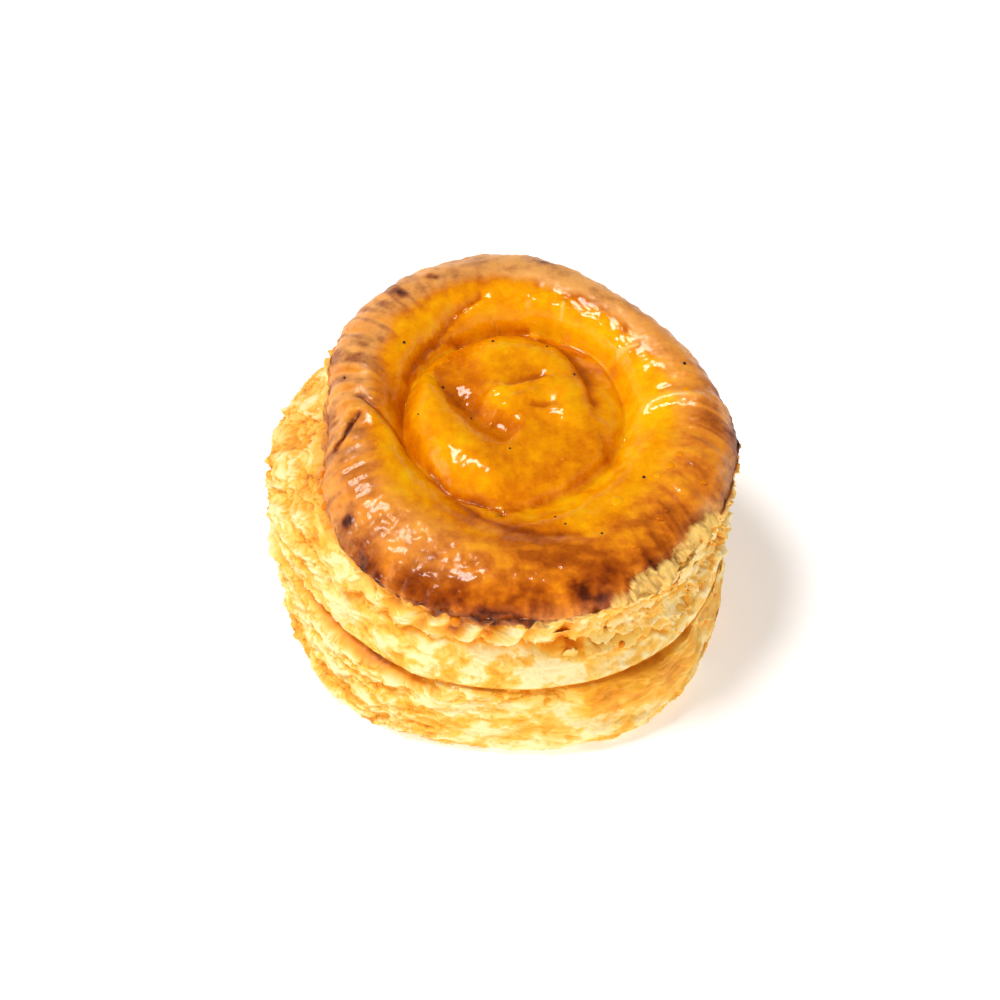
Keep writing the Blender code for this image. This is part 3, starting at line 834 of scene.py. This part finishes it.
def gold_of(points, shade_and_tint, tone, belt):
    patches = smooth_step(rough(points * (1, 1, 1.5), 8 * MM, seed=61), -0.30, 0.60)
    soaked = smooth_step(rough(points * (1, 1, 1.4), 5 * MM, seed=63), 0.02, 0.30)
    # The shade-and-tint value makes the dough darker gold: painted shade in hollows, gaps and the seam, with
    # stains and baked spots.
    gold = 0.05 + 0.30 * patches + 0.34 * (tone - 0.5) * (1 - belt) + 0.58 * shade_and_tint
    gold += (0.40 * soaked - 0.24) * belt
    return np.clip(gold, 0, 1)


def shrunk_rings(rim, middle, shares):
    return np.stack([middle + (rim - middle) * share for share in shares])


def crust_gold(*side):
    """How golden the side is, with one fixed value on the hidden rings above and below it."""
    values = gold_of(*side)
    hidden = np.full((HIDDEN_RINGS, values.shape[1]), HIDDEN_GOLD)
    return np.concatenate([hidden, values, hidden])


seam = ring(SEAM, side_angles[0])
roof = shrunk_rings(lid_points[0], np.array([0, 0, 36]) * MM, (0.3, 0.7, 0.94))
bed = np.stack([lid_points[-1] * 0.35 + seam * 0.65, seam, seam * (0.5, 0.5, 1)])
side_rings = np.concatenate([roof, lid_points, bed])
side_gold = crust_gold(lid_points, lid_shade_and_tint, lid_tone, lid_belt)
lid_crust = closed_skin("lid_crust", side_rings, gold=side_gold)

# %% [markdown]
# ## The base
# The lower disc carries the lid on a shelf that shows at the right. Its layers opened into
# bigger, thinner sheets, with one smooth sheet across the front, and one torn sheet that hangs
# down at the front right. At the front left a gap opens under the lid, and painted shade darkens it.

# %% Shape the base
BASE_ROWS = 96


def base_side(angle, place):
    """The same four values for the lower disc, whose smooth sheet takes the belt's place."""
    host = between(BASE_LEVELS, angle, place)
    sheet_angle, sheet_drop = warped(host, angle, 12 * MM, 2.4 * MM, seed=71)
    lift, behind, tone = scales(sheet_angle, sheet_drop, count=38, height=3.4 * MM, seed=73)
    pushed_about = crumpled_space(host, seed=78)
    crumpled = crinkles(pushed_about * (0.7, 0.7, 1.2), 7 * MM, seed=74)
    cover, below = torn_layers(pushed_about * (0.8, 0.8, 1.7), 10 * MM, 5, seed=85)
    fine = facing(angle, (-12, 34, 0.9), (120, 40, 0.7))
    smooth = facing(angle, (-84, 17, 1.4)) * smooth_step(place, 0.9, 1.3)
    relief = fine * 2.0 * (lift - 0.45) + (1 - fine) * 2.6 * (cover - 0.5)
    relief += (1.2 - 0.7 * fine) * (crumpled - 0.4)
    reach = (1 - 0.65 * smooth) * relief * MM
    torn_at = 2.0 + 0.45 * rays(angle, 7 * MM, seed=80) + 0.15 * rays(angle, 1.6 * MM, seed=84)
    hanging = smooth_step(facing(angle, (-53, 13, 1.0)), 0.25, 0.55)
    hanging *= 1 - smooth_step(place - torn_at, -0.03, 0.05)
    reach = reach * (1 - 0.6 * hanging) + 1.7 * MM * hanging
    broad = rough(host * (1, 1, 2), 10 * MM, seed=76)
    reach += 0.55 * MM * broad + 0.07 * MM * rough(host, 1.3 * MM, seed=77, octaves=2)
    strata = fine_layers(host, sheet_drop, seed=79)
    reach += (0.26 - 0.2 * smooth) * MM * strata
    reach *= smooth_step(place, 0, 0.15)
    gap = facing(angle, (-148, 20, 1.3), (-120, 8, 0.6)) * (1 - smooth_step(place, 0.85, 1.15))
    reach -= 3.0 * MM * gap
    # Behind the edges of scales and sheets the side is darkened as painted shade. The hanging sheet is golden
    # of its own.
    shade_and_tint = np.maximum(fine * behind, 0.8 * (1 - fine) * below) * (1 - 0.6 * smooth) * (1 - 0.7 * hanging)
    shade_and_tint = np.maximum(shade_and_tint, 0.40 * hanging)
    # Just under the lid the shelf is darker: orange-gold dough, deepened by painted shade under the hem.
    shelf = 0.45 + 0.45 * facing(angle, (-45, 30, 0.5), (-140, 24, 1.0))
    shelf *= 1 - smooth_step(place, 0.05, 0.55)
    # The recessed thin layers are darkened as painted shade, and the foot is baked brown.
    shaded_strata = (0.24 - 0.18 * smooth) * np.clip(-strata, 0, 1)
    baked_foot = (0.55 + 0.5 * broad) * smooth_step(place, 3.7, 3.97) * (1 - 0.7 * smooth)
    # The gap under the lid is darker too, partly orange dough and partly painted shade.
    open_side = np.maximum(shade_and_tint, 0.8 * shelf) * (1 - gap)
    shade_and_tint = np.maximum.reduce([open_side, gap, shaded_strata, baked_foot])
    points = pushed(host, angle, reach)
    points[..., 2] = np.maximum(points[..., 2], 0)
    return points, shade_and_tint, fine * tone + (1 - fine) * torn_tone(cover, crumpled), 0.5 * smooth


base_places = np.linspace(0, 4, BASE_ROWS)[:, None]
base_angle, base_place = np.broadcast_arrays(side_angles, base_places)
base_points, base_shade_and_tint, base_tone, base_smooth = base_side(base_angle, base_place)
foot = base_points[-1] * (1, 1, 0)
top_bed = np.stack([seam * (0.5, 0.5, 1), seam, base_points[0] * 0.35 + seam * 0.65])
top_bed[..., 2] -= 0.3 * MM
base_rings = np.concatenate([top_bed, base_points, shrunk_rings(foot, np.zeros(3), (0.97, 0.6, 0.3))])
base_gold = crust_gold(base_points, base_shade_and_tint, base_tone, base_smooth)
base_crust = closed_skin("base_crust", base_rings, gold=base_gold)

# %% [markdown]
# ## Loose flakes
# Some sheets tore off at three sides and stand away from the crust. Each flake is a thin curved
# patch that follows the side, lifts towards its tip and narrows to a ragged end. We make a few
# hundred, with a fixed seed, and join all of one disc into one mesh.

# %% Tear the flakes
ALONG, ACROSS = 6, 14
FLAKE_THICKNESS = 0.13 * MM


def sheet_faces(count):
    """Quads of closed thin sheets: a front, a back, and a border round them."""
    front = np.arange(ALONG * ACROSS).reshape(ALONG, ACROSS)
    back = front + ALONG * ACROSS
    lower, upper = slice(None, -1), slice(1, None)
    quads = [
        [front[lower, lower], front[upper, lower], front[upper, upper], front[lower, upper]],
        [back[lower, lower], back[lower, upper], back[upper, upper], back[upper, lower]],
    ]
    turns = [(0, slice(None)), (slice(None), -1), (-1, slice(None, None, -1)), (slice(None, None, -1), 0)]
    for turn in turns:
        near, far = front[turn], back[turn]
        quads.append([near[:-1], near[1:], far[1:], far[:-1]])
    one = np.concatenate([np.stack(quad, axis=-1).reshape(-1, 4) for quad in quads])
    return (one[None] + (np.arange(count) * 2 * ALONG * ACROSS)[:, None, None]).reshape(-1, 4)


def torn_flakes(name, levels, level_height, spread, sizes, seed):
    """Flakes over a side: spread lists (towards, width, from place, to place, number of flakes),
    and sizes the least and most a flake is wide and long, and stands out, in millimetres."""
    luck = np.random.default_rng(seed)
    parts = []
    for towards, width, start, end, number in spread:
        spot = np.radians(luck.normal(towards, width, number))
        parts.append(np.stack([spot, luck.uniform(start, end, number)], axis=-1))
    spots = np.concatenate(parts)
    count = len(spots)
    wide, long, lift = (luck.uniform(*size, count)[:, None, None] * MM for size in sizes)
    down = np.where(luck.random(count) < 0.78, 1.0, -1.0)[:, None, None]
    skew = luck.normal(0, 0.25, count)[:, None, None]
    along = np.linspace(0, 1, ALONG)[None, :, None]
    across = np.linspace(-1, 1, ACROSS)[None, None, :]
    ragged = luck.normal(0, 0.16, (count, 1, ACROSS))
    ragged = (np.roll(ragged, 1, axis=2) + 2 * ragged + np.roll(ragged, -1, axis=2)) / 4
    run = along * (1 - 0.35 * across**2 + ragged)
    aside = across * (1 - 0.35 * run**2) * wide / 2 + skew * run * long
    turn = spots[:, 0, None, None] + aside / SIDE_RADIUS
    place = spots[:, 1, None, None] + down * run * long / level_height
    place = np.clip(place, 0.1, len(levels) - 1.02)
    turn, place = np.broadcast_arrays(turn, place)
    host = between(levels, turn, place)
    curl = 0.25 * lift * across**2 * np.sign(luck.normal(0, 1, count))[:, None, None]
    reach = -0.35 * MM + lift * run**1.3 + curl + 0.35 * MM * rough(host, 3 * MM, seed=seed + 1)
    reach = reach + 0.55 * MM * smooth_step(run, 0, 0.25)
    front = pushed(host, turn, reach)
    back = pushed(host, turn, reach - FLAKE_THICKNESS)
    points = np.stack([front, back], axis=1)
    points[..., 2] = np.maximum(points[..., 2], 0.02 * MM)
    tone = luck.random(count)[:, None, None, None]
    # Each flake is darker gold towards its root, as painted shade where it leaves the crust.
    gold = np.clip(0.05 + 0.35 * tone**2 + 0.25 * (1 - run[:, None]) ** 2, 0, 1)
    gold = np.broadcast_to(gold, points.shape[:-1])
    made = mesh_from(name, points.reshape(-1, 3), sheet_faces(count), gold=gold)
    print(f"{name}: {count} flakes")
    return made


lid_spread = [
    (-45, 14, 0.1, 3.8, 90), (-12, 18, 1.2, 3.6, 34), (30, 30, 0.9, 4.2, 40), (105, 26, 0.9, 4.4, 50),
]
lid_sizes = [(2.6, 7.0), (1.2, 2.6), (0.2, 1.0)]
lid_flakes = torn_flakes("lid_flakes", LID_LEVELS, 4.8 * MM, lid_spread, lid_sizes, seed=81)
base_spread = [(-10, 17, 0.2, 3.2, 40), (85, 38, 0.2, 3.2, 60)]
base_sizes = [(4.0, 12.0), (1.4, 3.2), (0.1, 0.7)]
base_flakes = torn_flakes("base_flakes", BASE_LEVELS, 4.6 * MM, base_spread, base_sizes, seed=91)

# %% [markdown]
# ## Drips, bubbles and specks
# The egg wash ran down in a few amber beads and froze in small bubbles, and there are a few
# black specks of pepper in it. All are small uneven balls that sit half in the surface. The
# bubbles (x, y, size) and the specks (x, y) are flattened. The drips (direction, place in the
# levels of the lid, size, distance out) are drawn out downwards.

# %% Set the beads
BALL_ROWS, BALL_COLUMNS = 10, 14


def ball(centre, size, squash):
    tilt = np.linspace(0, math.pi, BALL_ROWS + 2)[1:-1, None]
    turn = round_angles(BALL_COLUMNS)[None, :]
    x, y, z = np.sin(tilt) * np.cos(turn), np.sin(tilt) * np.sin(turn), np.cos(tilt) + 0 * turn
    shape = np.stack([x, y, z], axis=-1)
    shape *= 1 + 0.18 * noise(shape + centre * 1000, 1.1, seed=95)[..., None]
    return centre + shape * size * (1, 1, squash)


def nearest_top(x, y):
    return ((top_points[..., 0] / MM - x) ** 2 + (top_points[..., 1] / MM - y) ** 2).argmin()


def on_top(x, y):
    """The point of the glazed top above a spot, given in millimetres."""
    return top_points.reshape(-1, 3)[nearest_top(x, y)]


def bake_at(x, y):
    return bake.ravel()[nearest_top(x, y)]


BUBBLES = [
    (32.0, -13.1, 0.8), (34.4, -10.7, 0.9), (36.1, -8.3, 0.7), (38.3, 7.4, 0.8), (23.4, -18.8, 1.3),
    (31.9, -23.0, 0.9), (33.0, -21.6, 0.7), (40.6, -14.4, 0.8), (26.4, -30.2, 0.6), (12.6, -8.0, 0.5),
    (30.0, -4.0, 0.4), (-25.0, -6.0, 0.4),
]
DRIPS = [
    (-167, 0.3, 1.1, -0.2), (-162, 0.4, 1.3, 0.0), (-157, 0.3, 1.0, 0.0), (-106, 1.0, 1.1, 1.4),
    (-57, 3.8, 0.7, 0.4),
]
SPECKS = [
    (-1.5, 22.8), (9.8, 21.1), (15.5, 13.0), (-11.8, 11.8), (11.0, -21.9), (29.1, -13.3), (-16.8, 3.9),
    (13.1, -24.1), (-6.1, 3.0), (-32.0, 12.0), (38.0, 14.0), (2.0, -6.0), (20.0, -27.0), (-20.0, 20.0),
]
BUBBLE_SQUASH, DRIP_STRETCH, SPECK_SQUASH = 0.32, 1.3, 0.5
DRIP_BAKE = 0.36

beads = [ball(on_top(x, y), size * MM, BUBBLE_SQUASH) for x, y, size in BUBBLES]
bead_bake = [bake_at(x, y) - 0.06 for x, y, size in BUBBLES] + [DRIP_BAKE] * len(DRIPS)
for turn, place, size, out in DRIPS:
    spot = between(LID_LEVELS, np.radians(turn), np.array(place))
    beads.append(ball(pushed(spot, np.radians(turn), np.array(out * MM)), size * MM, DRIP_STRETCH))
bead_bake = np.array(bead_bake)[:, None, None]
amber_beads = closed_skin("amber_beads", np.stack(beads), bake=bead_bake, dry=0.0, bare=0.0)

luck = np.random.default_rng(97)
specks = [ball(on_top(x, y), luck.uniform(0.22, 0.38) * MM, SPECK_SQUASH) for x, y in SPECKS]
pepper_specks = closed_skin("pepper_specks", np.stack(specks))
print("beads and specks:", len(beads), len(specks))

# %% [markdown]
# ## Writing shaders as sums
# A finish is easier to read as a formula than as a drawing of nodes. This small class holds one
# socket. Its operators make the maths nodes, and `node` makes any other node.

# %% Wrap a socket
class Wire:
    """One output socket of a node tree, which can be added, multiplied and fed to other nodes."""

    def __init__(self, tree, socket):
        self.tree = tree
        self.socket = socket

    def node(self, kind, settings=None, output=0, **inputs):
        """Another node of the same tree: its settings first, then its inputs by name or number."""
        made = self.tree.nodes.new(kind)
        for key, value in (settings or {}).items():
            if key == "stops":
                set_stops(made.color_ramp, value)
            else:
                setattr(made, key, value)
        for key, value in inputs.items():
            numbered = key[0] == "i" and key[1:].isdigit()
            socket = made.inputs[int(key[1:])] if numbered else named(made.inputs, key)
            if isinstance(value, Wire):
                self.tree.links.new(value.socket, socket)
            else:
                socket.default_value = value
        return Wire(self.tree, made.outputs[output])

    def math(self, operation, other=0.0, swapped=False, clamp=False):
        first, second = (other, self) if swapped else (self, other)
        return self.node("ShaderNodeMath", {"operation": operation, "use_clamp": clamp}, i0=first, i1=second)

    def __add__(self, other):
        return self.math("ADD", other)

    def __sub__(self, other):
        return self.math("SUBTRACT", other)

    def __mul__(self, other):
        return self.math("MULTIPLY", other)

    def __rsub__(self, other):
        return self.math("SUBTRACT", other, swapped=True)

    __radd__ = __add__
    __rmul__ = __mul__

    def clamped(self):
        return self.math("ADD", 0.0, clamp=True)

    def blend(self, first, second):
        """The first colour where this is 0, the second where it is 1."""
        return self.node("ShaderNodeMix", {"data_type": "RGBA"}, output=2, i0=self, i6=first, i7=second)

    def tinted(self, stops):
        """A colour that runs through the stops as this goes from 0 to 1."""
        return self.node("ShaderNodeValToRGB", {"stops": stops}, fac=self)

    def bumped(self, strength, distance, **under):
        """A surface direction bent by this as a height, laid over another such bend if given."""
        return self.node("ShaderNodeBump", strength=strength, distance=distance, height=self, **under)


def named(sockets, key):
    return next(socket for socket in sockets if socket.name.replace(" ", "_").lower() == key)


def set_stops(ramp, stops):
    """Stops are (position, (red, green, blue)), from left to right."""
    while len(ramp.elements) > len(stops):
        ramp.elements.remove(ramp.elements[-1])
    while len(ramp.elements) < len(stops):
        ramp.elements.new(1.0)
    for element, (position, colour) in zip(ramp.elements, stops):
        element.position = position
        element.color = (*colour, 1)


def finish(name, **fixed):
    """A new material, its shader, and a wire to start its formulas from. Fixed inputs are set here."""
    material = bpy.data.materials.new(name)
    material.use_nodes = True
    tree = material.node_tree
    shader = tree.nodes["Principled BSDF"]
    for key, value in fixed.items():
        named(shader.inputs, key).default_value = value
    spot = Wire(tree, tree.nodes.new("ShaderNodeTexCoord").outputs["Object"])
    return material, shader, spot


def attribute(spot, name):
    return spot.node("ShaderNodeAttribute", {"attribute_name": name}, output=2)


def grain(spot, size, detail=3.0):
    """Fine noise from 0 to 1, its grains about the size across."""
    return spot.node("ShaderNodeTexNoise", vector=spot, scale=1 / size, detail=detail)


def connect(shader, **inputs):
    for key, wire in inputs.items():
        wire.tree.links.new(wire.socket, named(shader.inputs, key))


print("shader helpers ready")

# %% [markdown]
# ## The glaze
# Egg wash bakes to a clear film over yellow dough, so its colour runs from yellow through amber
# to a brown that is nearly black. Nothing blue comes back from it. The dry rim is duller, and its
# tan is partly a painted sheen. Where the dough is bare it is cream and matt. Tiny grains and
# wrinkles in the film bend its reflections. Three values that ride on the mesh say how baked, how
# dry and sheened, and how bare each spot is.

# %% Finish the glaze
GLAZE_COLOURS = [
    (0.00, (1.00, 0.52, 0.003)),
    (0.20, (0.93, 0.36, 0.001)),
    (0.42, (0.72, 0.20, 0.002)),
    (0.60, (0.52, 0.125, 0.002)),
    (0.80, (0.33, 0.062, 0.003)),
    (1.00, (0.10, 0.016, 0.003)),
]
DRY_AND_SHEEN_COLOURS = [
    (0.00, (0.98, 0.54, 0.16)),
    (0.45, (0.93, 0.47, 0.14)),
    (0.80, (0.38, 0.12, 0.035)),
    (1.00, (0.10, 0.03, 0.015)),
]
DOUGH_COLOURS = [(0.00, (1.00, 0.76, 0.30)), (1.00, (0.98, 0.54, 0.08))]

glaze, glaze_shader, spot = finish("glazed_crust", specular_ior_level=0.26)
speckle = grain(spot, 0.7 * MM) - 0.5
bake_here = (attribute(spot, "bake") + 0.22 * speckle).clamped()
dry_and_sheen_here = attribute(spot, "dry")
bare_here = attribute(spot, "bare")
# On the dry rim a tan is mixed in, partly dried glaze and partly a painted sheen.
crust = (0.85 * dry_and_sheen_here).blend(bake_here.tinted(GLAZE_COLOURS), bake_here.tinted(DRY_AND_SHEEN_COLOURS))
skin = bare_here.blend(crust, (speckle + 0.5).tinted(DOUGH_COLOURS))
wrinkled = grain(spot, 1.2 * MM, detail=1.0).bumped(0.25, 0.16 * MM)
bumps = grain(spot, 0.35 * MM, detail=2.0).bumped(0.12, 0.05 * MM, normal=wrinkled)
sheen = 0.10 + 0.30 * dry_and_sheen_here + 0.40 * bare_here + 0.10 * speckle
connect(glaze_shader, base_color=skin, roughness=sheen, normal=bumps)
print("glaze nodes:", len(glaze.node_tree.nodes))

# %% [markdown]
# ## The pastry
# Bare pastry is matt, cream where dry and gold where butter soaked it. In the hollows it is
# painted orange brown, as shade. It lets some light through, so it scatters a little under its surface.

# %% Finish the pastry
# The darker stops serve as the baked foot and as painted shade in the hollows.
PASTRY_AND_SHADE_COLOURS = [
    (0.00, (1.00, 0.80, 0.42)),
    (0.22, (0.99, 0.62, 0.14)),
    (0.45, (0.97, 0.46, 0.030)),
    (0.75, (0.78, 0.27, 0.012)),
    (1.00, (0.38, 0.10, 0.005)),
]

glow = {"subsurface_weight": 0.15, "subsurface_radius": (1.0, 0.5, 0.2), "subsurface_scale": 0.8 * MM}
pastry, pastry_shader, spot = finish("flaky_crust", **glow)
gold_here = (attribute(spot, "gold") + 0.10 * (grain(spot, 1.2 * MM) - 0.5)).clamped()
crumb = gold_here.tinted(PASTRY_AND_SHADE_COLOURS)
dusted = grain(spot, 0.5 * MM).bumped(0.4, 0.12 * MM)
connect(pastry_shader, base_color=crumb, roughness=0.62 - 0.25 * gold_here, normal=dusted)

pepper, _, _ = finish("pepper", base_color=(0.02, 0.008, 0.004, 1), roughness=0.5)

for made, node, material, slot in [
    (lid_glaze, "pastry_lid", glaze, "glazed_crust"),
    (lid_crust, "pastry_lid", pastry, "flaky_crust"),
    (lid_flakes, "pastry_lid", pastry, "flaky_crust"),
    (amber_beads, "pastry_lid", glaze, "glazed_crust"),
    (pepper_specks, "pastry_lid", pepper, "glazed_crust"),
    (base_crust, "pastry_base", pastry, "flaky_crust"),
    (base_flakes, "pastry_base", pastry, "flaky_crust"),
]:
    made.data.materials.append(material)
    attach(made, "root")
    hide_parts(node)
    print(made.name, "stands for", node)

# %% [markdown]
# ## Table and light
# The pie stands on a white table that is lit almost to paper white, and glows a little, as a
# white sheet under strong lamps seems to. A far, soft light stands high over its left side. It
# makes the short shadow and the bright patches on the glaze. A wide disc brightens the left, and
# a wider one the front. We keep the front one out of reflections, where it would lie as a pale
# veil. The room is dim above and bright near the table, and a gamma under 1 deepens the ambers.

# %% Light the pie
TABLE_HALF = 2.0
LIGHT_DISTANCE = 0.9

corners = np.array([(-1, -1, 0), (1, -1, 0), (1, 1, 0), (-1, 1, 0)]) * TABLE_HALF
table = mesh_from("table", corners, np.array([[0, 1, 2, 3]]))
matt = {"base_color": (0.85, 0.85, 0.85, 1), "roughness": 0.9, "specular_ior_level": 0.0}
white, _, _ = finish("white_table", emission_color=(1.0, 0.99, 0.975, 1), emission_strength=0.38, **matt)
table.data.materials.append(white)


def hang_light(name, kind, direction, strength):
    lamp = bpy.data.lights.new(name, kind)
    lamp.energy = strength
    made = placed(name, lamp)
    away = np.array(direction) / np.linalg.norm(direction)
    made.location = CAMERA_TARGET + away * LIGHT_DISTANCE
    made.rotation_euler = made.location.to_track_quat("Z", "Y").to_euler()
    print(name, "strength:", strength)
    return made


key_light = hang_light("key_light", "SUN", (-0.40, 0.02, 0.91), 2.10)
key_light.data.angle = 0.32
left_light = hang_light("left_light", "AREA", (-0.85, -0.12, 0.50), 0.9)
front_light = hang_light("front_light", "AREA", (0.25, -0.92, 0.30), 2.5)
for lamp, size in [(left_light, 0.40), (front_light, 0.60)]:
    lamp.data.shape = "DISK"
    lamp.data.size = size
front_light.visible_glossy = False

world = bpy.data.worlds.new("room")
bpy.context.scene.world = world
world.use_nodes = True
sky_tree = world.node_tree
sky = Wire(sky_tree, sky_tree.nodes.new("ShaderNodeTexCoord").outputs["Generated"])
up = sky.node("ShaderNodeSeparateXYZ", output=2, vector=sky)
strength = up.node("ShaderNodeMapRange", value=up, i1=0.05, i2=0.6, i3=1.15, i4=0.12)
background = sky_tree.nodes["Background"]
sky_tree.links.new(strength.socket, background.inputs["Strength"])
background.inputs["Color"].default_value = (1, 1, 1, 1)
bpy.context.scene.view_settings.view_transform = "Standard"
bpy.context.scene.view_settings.gamma = 0.90
